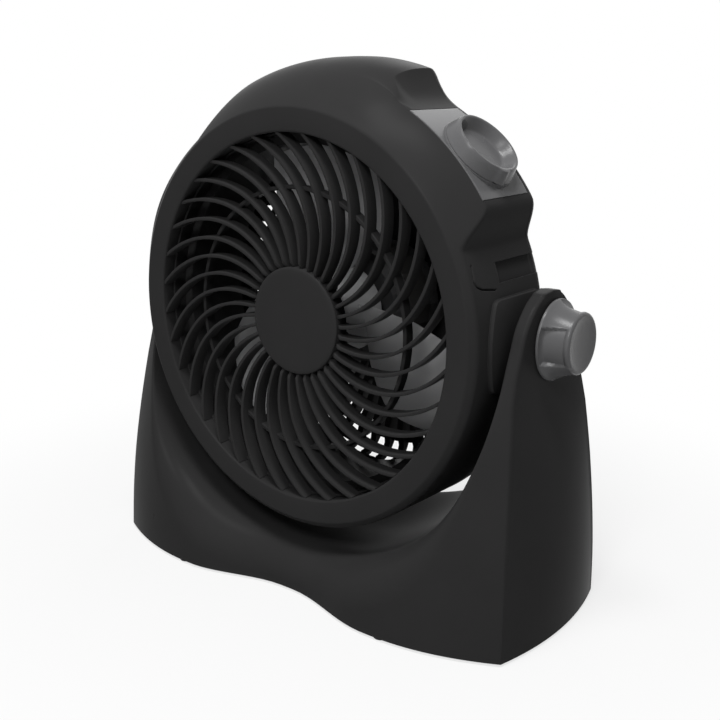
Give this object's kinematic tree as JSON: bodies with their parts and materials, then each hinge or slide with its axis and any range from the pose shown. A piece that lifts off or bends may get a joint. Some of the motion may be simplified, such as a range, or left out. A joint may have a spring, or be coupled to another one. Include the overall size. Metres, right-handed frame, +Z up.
{
  "type": "air circulator fan",
  "caption": "Drum-shaped air circulator fan with a spiral-vane front grille, a raised hood with a speed dial, and a head that tilts between the arms of a floor stand.",
  "frame": {"origin": "on the floor, under the middle of the stand", "axes": "+Z up; the air leaves towards -Y; +X to the right seen from the front"},
  "size_m": [0.3632, 0.1706, 0.3666],
  "materials": {
    "body_black": "satin moulded plastic",
    "trim_grey": "satin grey moulded plastic",
    "blade_grey": "smooth light grey plastic",
    "moulded_dark": "moulded switch body",
    "capacitor_case": "smooth moulded case",
    "terminal_white": "off-white nylon",
    "steel": "plain steel",
    "cast_aluminium": "cast",
    "copper_wire": "lacquered copper wire",
    "rubber": "soft black rubber"
  },
  "bodies": {
    "stand": {"stand_shell": "body_black", "stand_bottom": "body_black", "base_screw_1": "steel", "base_screw_2": "steel", "base_screw_3": "steel", "base_screw_4": "steel", "foot_front_edge_left": "rubber", "foot_front_edge_right": "rubber", "foot_front_corner_left": "rubber", "foot_front_corner_right": "rubber", "foot_rear_edge_left": "rubber", "foot_rear_edge_right": "rubber", "foot_rear_corner_left": "rubber", "foot_rear_corner_right": "rubber"},
    "head": {"head_shell": "body_black", "rear_housing": "body_black", "front_grille": "body_black", "hub_cap": "body_black", "rear_guard": "body_black", "rear_cover": "body_black", "duct_ring": "body_black", "control_panel": "trim_grey", "stator_core": "steel", "bearing_front": "steel", "bearing_rear": "steel", "rotary_switch": "moulded_dark", "capacitor": "capacitor_case", "terminal_block": "terminal_white", "cord_gland": "rubber", "winding_front": "copper_wire", "winding_rear": "copper_wire", "motor_front_bell": "cast_aluminium", "motor_rear_bell": "cast_aluminium", "trunnion_left": "body_black", "pivot_nut_left": "steel", "friction_washer_left": "rubber", "trunnion_right": "body_black", "pivot_nut_right": "steel", "friction_washer_right": "rubber", "housing_screw_1": "steel", "motor_screw_1": "steel", "housing_screw_2": "steel", "motor_screw_2": "steel", "housing_screw_3": "steel", "motor_screw_3": "steel", "housing_screw_4": "steel", "motor_screw_4": "steel"},
    "impeller": {"impeller": "blade_grey", "impeller_nut": "body_black", "motor_shaft": "steel", "rotor_core": "steel"},
    "dial": {"speed_dial": "trim_grey", "switch_shaft": "body_black"},
    "knob_left": {"tilt_knob_left": "trim_grey", "pivot_stud_left": "steel"},
    "knob_right": {"tilt_knob_right": "trim_grey", "pivot_stud_right": "steel"}
  },
  "joints": [
    {"name": "head_tilt", "type": "hinge", "parent": "stand", "child": "head", "pos_m": [0, 0.008, 0.194], "axis": [-1, 0, 0], "range_deg": [-20, 90]},
    {"name": "fan_spin", "type": "hinge", "parent": "head", "child": "impeller", "pos_m": [0, 0.008, 0.194], "axis": [0, 1, 0], "continuous": true},
    {"name": "speed_dial_turn", "type": "hinge", "parent": "head", "child": "dial", "pos_m": [0.11314, -0.01, 0.30714], "axis": [0.7071, 0, 0.7071], "range_deg": [0, 135]},
    {"name": "tilt_knob_left_turn", "type": "hinge", "parent": "head", "child": "knob_left", "pos_m": [-0.17, 0.008, 0.194], "axis": [-1, 0, 0], "range_deg": [0, 360]},
    {"name": "tilt_knob_right_turn", "type": "hinge", "parent": "head", "child": "knob_right", "pos_m": [0.17, 0.008, 0.194], "axis": [1, 0, 0], "range_deg": [0, 360]}
  ]
}
